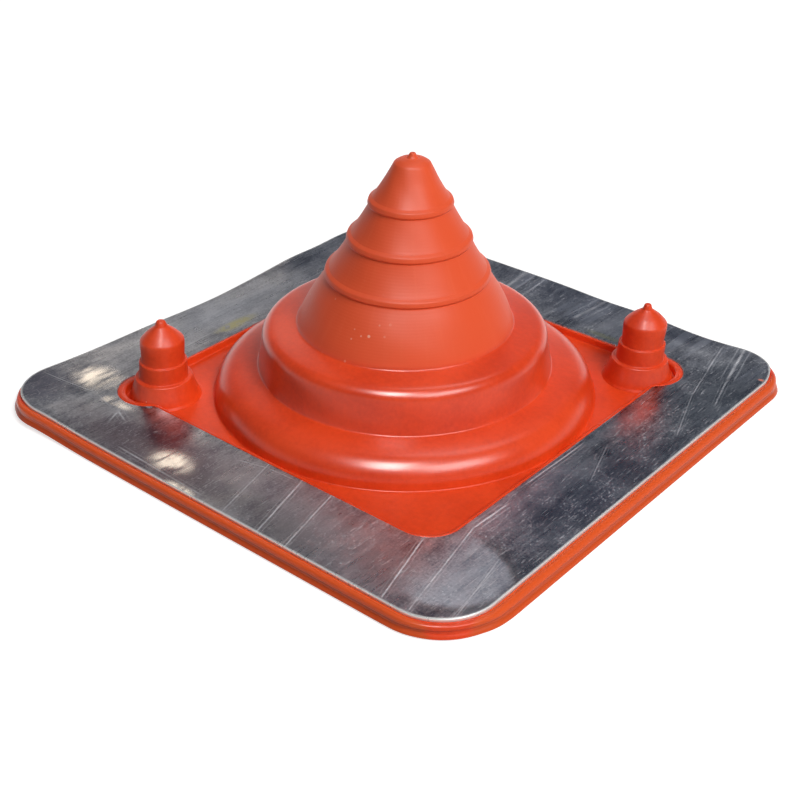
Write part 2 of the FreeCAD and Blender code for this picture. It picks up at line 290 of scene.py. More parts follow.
# On the two far sides: the metal outward and up over the rubber's bead, and the bead in and down
OVERHANG = 0.45
TUCK = OVERHANG + 0.35
TUCK_DROP = 0.55
EDGE_BAND = 6
# How far the left corner is pulled out, and how wide the pull is
PULL = 0.7
PULL_WIDTH = 12.0
# How far the tip leans, and which way
LEAN = 1.12
LEAN_WAY = np.array([0.77, 0.64])


def swells(x, y, z):
    """The rise of the flange, nothing at the window and nothing downward at the ground."""
    rise = sum(height * np.exp(-((x - cx) ** 2 + (y - cy) ** 2) / width ** 2)
               for cx, cy, width, height in DENTS)
    rise = rise * smoothstep(WINDOW_HALF + 1.5, RIM_HALF - 1, np.maximum(abs(x), abs(y)))
    return np.where(rise < 0, rise * smoothstep(0, 1.2, z), rise)


def shaped(grid):
    """Moves a grid as the real piece is bent: the flange by round swells, the rim by a splay of its
    foot on the two near sides and by the metal's overhang on the two far ones, measured from the
    metal's outline along its normal, the left corner by a pull outward, and the cone by a lean that
    grows with height."""
    x, y, z = grid[..., 0], grid[..., 1], grid[..., 2]
    rise = swells(x, y, z)
    out = grid.copy()

    share = np.clip((z - CONE_FOOT[1]) / (PEAK - CONE_FOOT[1]), 0, 1) ** 0.75
    near = smoothstep(34, 24, np.hypot(x, y))
    out[..., :2] += (LEAN * share * near)[..., None] * LEAN_WAY

    low = smoothstep(2.6, 0.8, z)
    fade_start, fade_end = SPLAY_END
    out[..., 0] += (SPLAY[0] * low * smoothstep(METAL_HALF, RIM_HALF, x)
                    * smoothstep(-fade_end, -fade_start, y) * (1 - 0.6 * smoothstep(44, 54, y)))
    out[..., 1] -= (SPLAY[1] * low * smoothstep(METAL_HALF, RIM_HALF, -y)
                    * smoothstep(fade_end, fade_start, x))

    flat = grid[..., :2]
    over = np.maximum(abs(flat) - (METAL_HALF - METAL_CORNER), 0)
    length = np.maximum(np.linalg.norm(over, axis=-1), 1e-6)
    way = np.sign(flat) * over / length[..., None]
    beyond = length - METAL_CORNER
    far = smoothstep(-0.5, 0.05, (way[..., 1] - way[..., 0]) / math.sqrt(2)) * smoothstep(0.9, 1.5, z)
    shift = OVERHANG * far * smoothstep(-EDGE_BAND, 0, beyond)
    tuck = far * smoothstep(0.05, 0.5, beyond)
    left = ((x + RIM_HALF) ** 2 + (y + RIM_HALF) ** 2) / PULL_WIDTH ** 2
    pull = PULL * np.exp(-left) * smoothstep(-EDGE_BAND, 0, beyond)
    out[..., :2] += way * (shift - TUCK * tuck + pull)[..., None]
    rise = rise + shift * 0.5 - TUCK_DROP * tuck

    out[..., 2] = np.minimum(z + rise, NUB_TOP)
    return out


def tube_faces(rows, columns, start=0, closed=False):
    """Quads between neighbouring rows of a grid whose columns run full circle, and whose rows do too
    when it is closed."""
    index = start + np.arange(rows * columns).reshape(rows, columns)
    below = np.roll(index, -1, 0)
    if not closed:
        index, below = index[:-1], below[:-1]
    return np.stack([index, below, np.roll(below, -1, 1), np.roll(index, -1, 1)], 2).reshape(-1, 4)


def mesh_object(name, points, quads, triangles=()):
    """A smooth mesh from points in millimetres, quads and triangles."""
    mesh = bpy.data.meshes.new(name)
    mesh.from_pydata((points * MM).tolist(), [], quads.tolist() + [list(t) for t in triangles])
    mesh.polygons.foreach_set("use_smooth", np.ones(len(mesh.polygons), bool))
    mesh.update()
    piece = bpy.data.objects.new(name, mesh)
    bpy.context.scene.collection.objects.link(piece)
    return piece


def poled(grid):
    """Points, quads and triangles of a grid whose first and last rows are single points."""
    inner = grid[1:-1]
    rows, columns = inner.shape[:2]
    points = np.concatenate([grid[0, :1], inner.reshape(-1, 3), grid[-1, :1]])
    quads = tube_faces(rows, columns, 1)
    first = 1 + np.arange(columns)
    last = first + (rows - 1) * columns
    end = len(points) - 1
    triangles = np.concatenate([
        np.column_stack([np.zeros(columns, int), first, np.roll(first, -1)]),
        np.column_stack([last, np.full(columns, end), np.roll(last, -1)]),
    ])
    return points, quads, triangles.tolist()


def boot_grid():
    """The whole moulding but its nipples as one grid, from the tip's nub out over the tiers, the window
    and the rim, back under the flange and up the hollow."""
    lip = lip_rows()
    foot = circle(TIER_1_FOOT + 0.4)
    rim = squared(rim_section())
    under = squared(underside_section())
    hollow = revolved(hollow_section())
    return np.concatenate([
        revolved(cone_section()),
        between(foot, lip[0, :, :2], (0.15, 0.35, 0.6, 0.85), FLOOR),
        lip,
        between(lip[-1, :, :2], rim[0, :, :2], (0.2, 0.4, 0.6, 0.8), SEAT),
        rim,
        under,
        between(under[-1, :, :2], hollow[0, :, :2], (0.3, 0.65), RELIEF),
        hollow,
    ])


def wobble(grid):
    """A slight unevenness of the soft moulding: the distance from the axis swings by a few
    hundredths of a millimetre with the angle and the height."""
    x, y, z = grid[..., 0], grid[..., 1], grid[..., 2]
    angle = np.arctan2(y, x)
    swing = (0.05 * np.sin(2 * angle + 0.25 * z) + 0.04 * np.sin(3 * angle - 0.4 * z + 1)
             + 0.025 * np.sin(7 * angle + z))
    swing = swing * smoothstep(3, 9, z) * smoothstep(PEAK, PEAK - 4, z)
    out = grid.copy()
    out[..., :2] *= (1 + swing / np.maximum(np.hypot(x, y), 5))[..., None]
    return out


def nipple_section(nub):
    """A nipple's outer section from its nub, of the given radius, down its cap, step and collar to the
    flared foot, then in under the foot and up its bore."""
    return rounded([
        (0, NIPPLE_TOP, 0), (nub * 0.72, NIPPLE_TOP - 0.08, 0.4), (nub, NIPPLE_TOP - 0.85, 0.4),
        (nub + 0.12, NIPPLE_TOP - 1.15, 0.3), (2.9, 15.15, 4.0), (4.22, 13.75, 0.9), (4.3, 12.9, 0),
        (4.18, 10.5, 0), (4.2, 9.3, 0.12), (4.62, 9.2, 0.16), (4.72, 6.1, 0), (4.75, 5.85, 0.12),
        (5.55, 5.72, 0.2), (6.05, 4.0, 0), (NIPPLE_FOOT - 0.1, FLOOR + 0.5, 0.6),
        (NIPPLE_FOOT + 0.25, FLOOR, 0.2), (NIPPLE_FOOT + 0.1, 0.385, 0), (BORE, 0.385, 0),
        (BORE, 12.2, 0.5), (0, 12.65, 0),
    ], arc_step=14, run_step=1.6)


def lathed(section, centre, columns):
    """Rows of circles about a centre, one for each point of a section, evenly divided."""
    angle = np.arange(columns) * 2 * math.pi / columns
    ring = np.stack([np.cos(angle), np.sin(angle)], 1)
    flat = section[:, None, :1] * ring[None] + np.array(centre)
    height = np.broadcast_to(section[:, None, 1:], flat.shape[:2] + (1,))
    return np.concatenate([flat, height], 2)


def nipple(name, centre, lean, nub, columns=72):
    """One nipple about its own axis, leaning in step with its height."""
    grid = lathed(nipple_section(nub), centre, columns)
    height = grid[..., 2:]
    grid[..., :2] += smoothstep(FLOOR, 17, height) * (height > FLOOR) * np.array(lean)
    return mesh_object(name, *poled(grid))


def metal_grid():
    """The frame as a ring-shaped grid: up the cut edge of the window, out across the top, down the
    outer edge and back below, with edges eased by a few hundredths. Also says how far each row is a
    cut edge, to be painted pale as its glint."""
    ease = 0.06
    gap = 0.02
    inner = window(WINDOW_HALF, WINDOW_CORNER, LOBE)
    inner_eased = window(WINDOW_HALF + ease, WINDOW_CORNER + ease, LOBE + ease)
    outer = square(METAL_HALF, METAL_CORNER)
    outer_eased = square(METAL_HALF - ease, METAL_CORNER - ease)
    low, high = SEAT + gap, METAL_TOP
    shares = np.concatenate([[0, 0.008], np.linspace(0.04, 0.96, 21), [0.976, 0.988, 1]])
    down = np.array([1, 0.992, 0.75, 0.5, 0.25, 0.008, 0])
    grid = np.concatenate([
        between(inner, inner, (0,), low + ease),
        between(inner, inner, (0,), high - ease),
        between(inner_eased, outer_eased, shares, high),
        between(outer, outer, (0,), high - ease),
        between(outer, outer, (0,), low + ease),
        between(inner_eased, outer_eased, down, low),
    ])
    edge = np.concatenate([[0, 0.5], np.zeros(len(shares) - 2), [0.7, 1, 1, 1], np.zeros(len(down))])
    return grid, edge


def drill(piece, centres, radius, low, high, columns=40):
    """Cuts a round hole through a piece at each centre, from one height to another."""
    section = np.array([(0, high), (radius, high), (radius, low), (0, low)])
    cutters = []
    for centre in centres:
        cutters.append(mesh_object("cutter", *poled(lathed(section, centre, columns))))
        cut = piece.modifiers.new("hole", "BOOLEAN")
        cut.operation, cut.solver, cut.object = "DIFFERENCE", "EXACT", cutters[-1]
    shape = bpy.data.meshes.new_from_object(piece.evaluated_get(bpy.context.evaluated_depsgraph_get()))
    piece.modifiers.clear()
    piece.data = shape
    for cutter in cutters:
        bpy.data.objects.remove(cutter)


def build_boot():
    """The moulding with room for its two bores, and its two nipples."""
    body = mesh_object("boot_moulding", *poled(shaped(wobble(boot_grid()))))
    drill(body, [(-NIPPLE_AT, -NIPPLE_AT), (NIPPLE_AT, NIPPLE_AT)], BORE_ROOM, -1.0, FLOOR + 1.0)
    pieces = [body]
    for name, sign, lean, nub in (("boot_nipple_left", -1, (0.3, 0.26), 1.12),
                                  ("boot_nipple_right", 1, (0.5, 0.42), 0.88)):
        pieces.append(nipple(name, (sign * NIPPLE_AT, sign * NIPPLE_AT), lean, nub))
    for piece in pieces:
        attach(piece, "root")
        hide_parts("rubber_boot")
    return pieces


def build_metal():
    """The frame, with an attribute that says where its cut edge is, to be painted pale as its glint."""
    flat_grid, edge = metal_grid()
    grid = shaped(flat_grid)
    rows, columns = grid.shape[:2]
    piece = mesh_object("metal_frame", grid.reshape(-1, 3), tube_faces(rows, columns, closed=True))
    layer = piece.data.attributes.new("cut_edge_glint", "FLOAT", "POINT")
    layer.data.foreach_set("value", np.repeat(edge, columns).astype(np.float32))
    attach(piece, "root")
    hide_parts("aluminium_frame")
    return piece


# Shader maths

class Value:
    """A socket of a shader tree. Operators on it add Math nodes, and node() adds any other node."""

    def __init__(self, tree, socket):
        self.tree = tree
        self.socket = socket

    def node(self, kind, settings=None, values=None, out=0):
        made = self.tree.nodes.new(kind)
        for key, setting in (settings or {}).items():
            setattr(made, key, setting)
        for key, value in (values or {}).items():
            if isinstance(value, Value):
                self.tree.links.new(value.socket, made.inputs[key])
            else:
                made.inputs[key].default_value = value
        return Value(self.tree, made.outputs[out])

    def maths(self, operation, first, second=0.0):
        return self.node("ShaderNodeMath", {"operation": operation}, {0: first, 1: second})

    def __add__(self, other):
        return self.maths("ADD", self, other)

    def __radd__(self, other):
        return self.maths("ADD", other, self)

    def __sub__(self, other):
        return self.maths("SUBTRACT", self, other)

    def __rsub__(self, other):
        return self.maths("SUBTRACT", other, self)

    def __mul__(self, other):
        return self.maths("MULTIPLY", self, other)

    def __rmul__(self, other):
        return self.maths("MULTIPLY", other, self)

    def __truediv__(self, other):
        return self.maths("DIVIDE", self, other)

    def __rtruediv__(self, other):
        return self.maths("DIVIDE", other, self)

    def __pow__(self, other):
        return self.maths("POWER", self, other)

    def __rpow__(self, other):
        return self.maths("POWER", other, self)

    def __abs__(self):
        return self.maths("ABSOLUTE", self)

    def sine(self):
        return self.maths("SINE", self)

    def at_most(self, other):
        return self.maths("MINIMUM", self, other)

    def at_least(self, other):
        return self.maths("MAXIMUM", self, other)

    def ramp(self, low, high):
        """0 below low, 1 above high and a smooth step between; low may be the greater."""
        return self.node("ShaderNodeMapRange", {"interpolation_type": "SMOOTHSTEP"},
                         {"Value": self, "From Min": low, "From Max": high})

    def mixed(self, first, second):
        """Number first where this value is 0, second where it is 1."""
        return self * (second - first) + first

    def mix(self, first, second):
        """Colour first where this value is 0, second where it is 1."""
        made = self.tree.nodes.new("ShaderNodeMix")
        made.data_type = "RGBA"
        for key, value in (("Factor_Float", self), ("A_Color", first), ("B_Color", second)):
            socket = next(item for item in made.inputs if item.identifier == key)
            if isinstance(value, Value):
                self.tree.links.new(value.socket, socket)
            else:
                socket.default_value = value if key == "Factor_Float" else (*value, 1.0)
        return Value(self.tree, next(item for item in made.outputs if item.identifier == "Result_Color"))


def shader(name):
    """A new material with its Principled node, and its Object coordinates in millimetres."""
    material = bpy.data.materials.new(name)
    material.use_nodes = True
    tree = material.node_tree
    surface = tree.nodes["Principled BSDF"]
    start = Value(tree, None)
    place = start.node("ShaderNodeTexCoord", out="Object")
    place = start.node("ShaderNodeVectorMath", {"operation": "SCALE"}, {0: place, "Scale": 1 / MM})
    return material, surface, place


def split(place):
    """x, y and z of a vector."""
    made = place.node("ShaderNodeSeparateXYZ", values={0: place})
    node = made.socket.node
    return [Value(place.tree, node.outputs[index]) for index in range(3)]


def join(place, x, y, z):
    return place.node("ShaderNodeCombineXYZ", values={0: x, 1: y, 2: z})


def noise(place, scale, detail=2.0, roughness=0.5, stretch=None, turn=0.0):
    """Noise of 0 to 1. stretch scales each axis, after a turn about Z in degrees."""
    if stretch or turn:
        values = {0: place, "Rotation": (0, 0, math.radians(turn)), "Scale": stretch or (1, 1, 1)}
        place = place.node("ShaderNodeMapping", {"vector_type": "POINT"}, values)
    return place.node("ShaderNodeTexNoise", {"noise_dimensions": "3D"},
                      {"Vector": place, "Scale": scale, "Detail": detail, "Roughness": roughness})


def feed(surface, name, value):
    """Sets one socket of the Principled node, by a link where the value varies."""
    if isinstance(value, Value):
        value.tree.links.new(value.socket, surface.inputs[name])
    else:
        surface.inputs[name].default_value = value


def bump(height, strength, distance):
    """A normal from heights in millimetres."""
    values = {"Height": height, "Strength": strength, "Distance": distance * MM}
    return height.node("ShaderNodeBump", values=values, out="Normal")


def specks(place, scale, share, size):
    """Small round spots: a share of the cells of a Voronoi pattern, as wide as size of a cell."""
    made = place.node("ShaderNodeTexVoronoi", {"feature": "F1"}, {"Vector": place, "Scale": scale})
    node = made.socket.node
    distance = Value(place.tree, node.outputs["Distance"])
    chance = split(Value(place.tree, node.outputs["Color"]))[0]
    return distance.ramp(size, size * 0.6) * chance.ramp(share + 0.01, share)


def greatest(values):
    """The greatest of several values, each made only when its turn comes, so that few stay open."""
    best = None
    for value in values:
        best = value if best is None else best.at_least(value)
    return best


# Tones of the rubber, one of them a painted shade for the rim's groove, and where pale dust lies on the
# cone
RUBBER_DEEP = (0.62, 0.040, 0.006)
RUBBER_BRIGHT = (0.78, 0.062, 0.011)
RUBBER_RIM = (0.68, 0.092, 0.016)
# Painted shade for the rim's groove under its bead
GROOVE_SHADE_TONE = (0.34, 0.042, 0.008)
RUBBER_CONE = (0.74, 0.088, 0.027)
RUBBER_FLOW = (0.82, 0.15, 0.06)
RUBBER_DUST = (0.86, 0.50, 0.36)
DUST_AT = (2, -17, 22)
CONE_LINE_PITCH = 0.5


def silicone():
    """Orange-red silicone: satin and finely lined on the cone, glossier on the tiers and the flange,
    with faint flow marks, pale dust, a few flecks, and painted shade in the rim's groove under its bead."""
    material, surface, place = shader("silicone")
    x, y, z = split(place)
    radius = (x * x + y * y) ** 0.5
    on_nipple = radius.ramp(38.5, 40) * z.ramp(4, 7)
    on_cone = z.ramp(16.2, 17.4) * (1.0 - on_nipple)
    mottle = noise(place, 0.09, 3)
    fine = noise(place, 1.1, 4, 0.6)
    round_way = join(place, x / radius.at_least(0.5) * 9, y / radius.at_least(0.5) * 9, z * 0.05)
    flow = noise(round_way, 1.6, 3)
    lines = (z * (2 * math.pi / CONE_LINE_PITCH) + mottle * 3.0).sine() * 0.5 + 0.5
    outside = abs(x).at_least(abs(y)).ramp(METAL_HALF - 0.5, METAL_HALF + 0.5)
    colour = (mottle * 0.6 + fine * 0.4).ramp(0.3, 0.7).mix(RUBBER_DEEP, RUBBER_BRIGHT)
    colour = (outside * 0.85).mix(colour, RUBBER_RIM)
    # Painted shade: the rim's groove under its bead is darkened, and its foot below by half as much.
    groove = z.ramp(0.55, 0.9).mixed(0.45, 1.0) * z.ramp(1.75, 1.4) * outside
    colour = (groove * 0.45).mix(colour, GROOVE_SHADE_TONE)
    colour = on_cone.mix(colour, RUBBER_CONE)
    colour = (flow.ramp(0.5, 0.8) * on_cone * 0.14).mix(colour, RUBBER_FLOW)
    from_dust = ((x - DUST_AT[0]) ** 2 + (y - DUST_AT[1]) ** 2 + (z - DUST_AT[2]) ** 2) ** 0.5
    dust = specks(place, 0.7, 0.24, 0.24) * from_dust.ramp(9, 3)
    flecks = specks(place, 0.22, 0.10, 0.05)
    pale = (dust * 0.75).at_least(flecks * 0.6)
    colour = pale.mix(colour, RUBBER_DUST)
    feed(surface, "Base Color", colour)
    rough = on_cone * 0.12 + 0.28 + mottle * 0.08 + (fine - 0.5) * 0.08 + pale * 0.2
    feed(surface, "Roughness", rough + on_nipple * 0.14)
    surface.inputs["Specular IOR Level"].default_value = 0.22
    off_cone = (1.0 - on_cone).at_least(on_nipple)
    coat = z.ramp(FLOOR + 0.6, FLOOR + 2.0) * off_cone * (1.0 - on_nipple * 0.75)
    feed(surface, "Coat Weight", coat * 0.5)
    surface.inputs["Coat Roughness"].default_value = 0.25
    surface.inputs["Coat IOR"].default_value = 1.5
    height = lines * on_cone * 0.006 + fine * (on_cone * 0.010 + 0.002) + flow * on_cone * 0.012
    feed(surface, "Normal", bump(height, 1.0, 1.0))
    return material


# Long scratches on the metal: two ends, width and strength
SCRATCHES = (
    (1.0, -38.6, 5.6, -55.9, 0.22, 0.75),
    (9.3, -38.9, 14.2, -56.0, 0.30, 0.85),
    (16.3, -38.8, 20.6, -55.9, 0.24, 0.8),
    (36.5, -38.9, 41.3, -55.5, 0.26, 0.95),
    (41.3, -22.0, 41.0, -31.0, 0.34, 0.9),
    (41.0, -31.0, 46.4, -54.8, 0.22, 0.9),
    (49.5, -35.6, 53.0, -51.5, 0.18, 0.7),
    (50.3, -36.5, 52.6, -52.0, 0.14, 0.6),
    (-3.6, -42.1, 2.0, -40.6, 0.26, 0.8),
    (2.0, -40.6, 9.0, -40.2, 0.22, 0.7),
    (-32.0, -48.6, -33.5, -45.2, 0.35, 0.8),
    (-33.5, -45.2, -30.1, -46.5, 0.35, 0.8),
    (44.3, 5.0, 48.2, -6.4, 0.2, 0.5),
    (45.7, 56.0, 49.3, 41.4, 0.5, 0.8),
    (49.3, 41.4, 52.2, 31.2, 0.25, 0.6),
    (41.5, 54.0, 44.6, 41.7, 0.25, 0.7),
    (44.6, 41.7, 46.9, 31.7, 0.2, 0.6),
    (46.9, 31.7, 52.2, 16.8, 0.2, 0.5),
    (-9.8, 56.0, -9.0, 43.0, 0.9, 0.5),
    (-4.4, 56.0, -3.8, 44.0, 0.5, 0.45),
    (11.7, 56.0, 11.0, 44.0, 0.7, 0.5),
    (40.4, 3.0, 40.2, -14.0, 0.3, 0.8),
    (-23.5, -53.3, -1.0, -54.1, 0.3, 0.7),
    (-54.8, -45.9, -42.3, -43.3, 0.22, 0.6),
    (-42.3, -43.3, -36.0, -45.2, 0.2, 0.5),
    (-43.0, -19.5, -43.4, -12.0, 0.3, 0.6),
)
# Spots rubbed to a polish and painted with a warm glint: centre, half length along x and y, strength
POLISHED_GLINTS = (
    (-13.0, -50.3, 5.2, 3.2, 1.0),
    (-5.0, -55.0, 3.8, 0.9, 1.0),
    (-46.0, -39.5, 5.6, 4.2, 1.0),
    (-37.0, -43.4, 5.0, 1.2, 0.9),
)
# Smears, soot and a chip: centre, half length along x and y, strength
SMEARS = (
    (-42.4, -5.5, 1.5, 5.5, 1.0),
    (21.0, 41.2, 5.0, 1.0, 0.6),
)
SOOT = (-16.1, -40.6, 3.0, 1.2, 1.0)
CHIP = (54.5, 45.9, 0.7, 0.5, 0.9)
# Stain: centre, half length along x and y
STAIN = (44.5, -42.5, 10.5, 10.0)
# Short scratches: turn in degrees, and the level of noise they start at
SHORT_SCRATCHES = ((17, 0.66), (-35, 0.68), (62, 0.69))
# Tones of the metal, two of them painted glints: one for spots rubbed to a polish, one for the cut edges
METAL_DARK = (0.17, 0.18, 0.22)
METAL_LIGHT = (0.64, 0.645, 0.68)
BAND_TONE = (0.66, 0.68, 0.76)
BRINK_TONE = (0.20, 0.18, 0.16)
STAIN_TONE = (0.36, 0.40, 0.47)
SMEAR_TONE = (0.62, 0.59, 0.32)
SCRATCH_TONE = (0.84, 0.84, 0.86)
PIT_TONE = (0.09, 0.09, 0.10)
GLINT_TONE = (0.97, 0.90, 0.80)
CHIP_TONE = (0.72, 0.20, 0.12)
CUT_EDGE_GLINT_TONE = (0.90, 0.90, 0.86)
# Regions of another tone, two of them a painted pinkish reflection of the orange rubber: centre, half
# length along x and y, share and colour
TONES_AND_REFLECTIONS = (
    (-53, -50, 8, 8, 0.65, (0.17, 0.17, 0.23)),
    # Painted reflection: a pinkish tint standing in for tier 1 mirrored in the sheet beside the window
    (8, -44, 26, 6, 0.40, (0.55, 0.43, 0.47)),
    (-18, -50, 22, 8, 0.80, (0.20, 0.15, 0.18)),
    (8, -52, 20, 4, 0.45, (0.20, 0.17, 0.18)),
    (28, -49, 17, 8, 0.50, (0.74, 0.69, 0.71)),
    (43, -20, 4, 17, 0.50, (0.74, 0.67, 0.75)),
    (50, -12, 6, 24, 0.55, (0.16, 0.17, 0.24)),
    (50, 33, 8, 20, 0.35, (0.25, 0.29, 0.32)),
    (-49, -2, 8, 34, 0.35, (0.74, 0.77, 0.84)),
    (-50, 44, 7, 12, 0.40, (0.30, 0.32, 0.38)),
    (14, 51, 30, 8, 0.45, (0.22, 0.24, 0.32)),
    # Painted reflection: a pinkish tint standing in for the rubber mirrored in the sheet beside the window
    (42.5, 16, 2.6, 8, 0.55, (0.84, 0.62, 0.62)),
)


def scratch(x, y, x0, y0, x1, y1, width, strength):
    """A soft line between two points: distance to the line, and how far along it a point lies."""
    length = math.hypot(x1 - x0, y1 - y0)
    ux, uy = (x1 - x0) / length, (y1 - y0) / length
    along = x * ux + y * uy - (x0 * ux + y0 * uy)
    off = abs(x * uy - y * ux - (x0 * uy - y0 * ux))
    twin = abs(off - width * 2.6).ramp(width * 0.5, 0.0) * 0.5
    within = along.ramp(-1.2, 1.2) * along.ramp(length + 1.2, length - 1.2)
    return off.ramp(width, 0.0).at_least(twin) * within * strength


def patch(x, y, centre_x, centre_y, wide, long, strength):
    """A soft oval."""
    off = (((x - centre_x) / wide) ** 2 + ((y - centre_y) / long) ** 2) ** 0.5
    return off.ramp(1.4, 0.3) * strength


def aluminium():
    """Dull rolled sheet: cloudy grey with streaks along Y and tones that differ by region, two of them a
    painted pinkish reflection of the rubber, long light scratches and short fine ones, speckle, spots
    rubbed to a polish and painted with a warm glint, a pale stain with a dark brink, yellowish smears
    and cut edges painted pale as their glint."""
    material, surface, place = shader("aluminium")
    x, y = split(place)[:2]
    cloud = noise(place, 0.07, 5, 0.62)
    waves = noise(place, 0.07, 1.5)
    blotch = noise(place, 0.3, 4, 0.6, stretch=(1.2, 0.4, 1.0), turn=8)
    streak = noise(place, 1.0, 4, 0.65, stretch=(1.3, 0.04, 1.0))
    fine_streak = noise(place, 1.0, 3, 0.7, stretch=(5.0, 0.12, 1.0), turn=3)
    grain = noise(place, 2.2, 4, 0.7)
    drift = noise(place, 0.12, 3, 0.6) - 0.5

    lines = greatest(scratch(x + drift * 0.3, y, *values) for values in SCRATCHES)
    lines = lines * noise(place, 0.3, 3, 0.6).ramp(0.25, 0.75).mixed(0.5, 1.0) * grain.ramp(0.1, 0.5)
    polished_glint = greatest(patch(x, y, *values) for values in POLISHED_GLINTS)
    polished_glint = polished_glint * noise(place, 0.3, 1.5, 0.5, stretch=(1.8, 0.5, 1.0), turn=-12).ramp(0.25, 0.6)
    shorts = greatest(
        noise(place, 1.0, 2, 0.4, stretch=(4.4, 0.3, 1.0), turn=turn).ramp(level, level + 0.06)
        for turn, level in SHORT_SCRATCHES)
    scuffed = noise(place, 0.13, 3, 0.6).ramp(0.42, 0.6)
    speckle = noise(place, 2.6, 2, 0.5, stretch=(1.0, 0.6, 1.0), turn=30).ramp(0.56, 0.72)
    speckle = speckle * scuffed.mixed(0.15, 1.0)
    dots = specks(place, 1.2, 0.10, 0.15)
    pits = specks(place, 1.1, 0.08, 0.15)
    soot = specks(place, 0.9, 0.5, 0.3) * patch(x, y, *SOOT)

    tone = (cloud - 0.5) * 1.0 + (blotch - 0.5) * 0.7 + (streak - 0.5) * 0.4 + (fine_streak - 0.5) * 0.25
    tone = tone + (grain - 0.5) * 0.7 + 0.5
    colour = tone.ramp(0.22, 0.78).mix(METAL_DARK, METAL_LIGHT)
    # Regional tones, two of them painted reflections of the rubber
    for *oval, share, tint in TONES_AND_REFLECTIONS:
        colour = patch(x + drift * 8, y - drift * 8, *oval, share).mix(colour, tint)
    band = noise(place, 0.35, 2, 0.5, stretch=(1.0, 0.05, 1.0), turn=-4).ramp(0.5, 0.62)
    colour = (band * y.ramp(41, 46) * 0.5).mix(colour, BAND_TONE)

    spill = drift * 4.0
    stain_x, stain_y, stain_wide, stain_long = STAIN
    off_x, off_y = (x + spill - stain_x) / stain_wide, (y + spill - stain_y) / stain_long
    stain_away = (off_x ** 2 + off_y ** 2) ** 0.5
    inside = stain_away.ramp(1.08, 0.82) * x.ramp(36, 49)
    brink = stain_away.ramp(1.2, 1.0) * stain_away.ramp(0.9, 1.0) * x.ramp(42, 49)
    colour = (brink * 0.35).mix(colour, BRINK_TONE)
    colour = (inside * cloud.ramp(0.3, 0.65).mixed(0.3, 0.6)).mix(colour, STAIN_TONE)
    smear = greatest(patch(x, y, *values) for values in SMEARS) * noise(place, 0.6, 3).ramp(0.3, 0.5)
    colour = smear.mix(colour, SMEAR_TONE)

    pale = lines.at_least(shorts * 0.4).at_least(dots * 0.6).at_least(speckle * 0.4)
    colour = pale.mix(colour, SCRATCH_TONE)
    colour = (pits * 0.6).at_least(soot * 0.8).mix(colour, PIT_TONE)
    # Painted glint: spots rubbed to a polish get a warm pale tone as well as a smoother finish.
    colour = (polished_glint * 0.8).mix(colour, GLINT_TONE)
    chip = patch(x, y, *CHIP)
    colour = chip.mix(colour, CHIP_TONE)
    # Painted highlight: the bare cut edge is made pale and less metallic, standing in for the glint along
    # it.
    edge = place.node("ShaderNodeAttribute", {"attribute_name": "cut_edge_glint"}, out="Fac")
    colour = (edge * 0.9).mix(colour, CUT_EDGE_GLINT_TONE)
    feed(surface, "Base Color", colour)
    dull = (pale * 0.6).at_least(inside * 0.35).at_least(edge * 0.5)
    dull = dull.at_least(chip).at_least(polished_glint * 0.3)
    feed(surface, "Metallic", 1.0 - dull)
    rough = 0.23 + streak * 0.10 + scuffed * 0.06 + pale * 0.25 + inside * 0.2 - polished_glint * 0.2
    feed(surface, "Roughness", rough.at_most(0.7).at_least(0.1))
    worked = streak * 0.012 + fine_streak * 0.006 + grain * 0.002
    height = worked * (1.0 - polished_glint * 0.85) + waves * 0.16
    feed(surface, "Normal", bump(height, 1.0, 1.0))
    return material


# Studio

CAMERA_TURN = 39.743
CAMERA_RISE = 30.815
CAMERA_ROLL = 0.429
CAMERA_AWAY = 265.0
CAMERA_AIM = (4.715, -7.0, METAL_TOP)
LENS = 61.44

# Studio levels: light from all round, and the seen white that fades to a grey ceiling between two
# heights of the sky, given as sines
AMBIENT = 0.13
CEILING = (0.085, 0.098, 0.125)
COVE_LOW = 0.10
COVE_HIGH = 0.38

# Floor: half width in metres, own light near the object and far out, where it changes in millimetres
FLOOR_REACH = 3.0
FLOOR_DROP = 0.0002
FLOOR_GLOW = (0.68, 1.0)
FLOOR_GLOW_AT = (120, 700)
PANEL_AIM = Vector((0, 0, 0.01))
WHITE = (1, 1, 1)
BLACK = (0, 0, 0)


def back_way(turn, rise):
    """Unit vector from the aim towards a camera that is turned round Z from -Y and raised."""
    a, e = math.radians(turn), math.radians(rise)
    return Vector((math.sin(a) * math.cos(e), -math.cos(a) * math.cos(e), math.sin(e)))


def looking(back, roll=0.0):
    """A rotation whose +Z is the given way and whose +X is level, then rolled."""
    right = Vector((-back.y, back.x, 0)).normalized()
    up = back.cross(right)
    r = math.radians(roll)
    right, up = right * math.cos(r) + up * math.sin(r), up * math.cos(r) - right * math.sin(r)
    return Matrix((right, up, back)).transposed().to_4x4()


def seen_rays(tree):
    """1 for rays of reflections and of clear things, and 1 for those and the camera's own."""
    camera = Value(tree, None).node("ShaderNodeLightPath", out="Is Camera Ray")
    outputs = camera.socket.node.outputs
    mirrored = Value(tree, outputs["Is Glossy Ray"]).at_least(Value(tree, outputs["Is Transmission Ray"]))
    return mirrored, camera.at_least(mirrored)


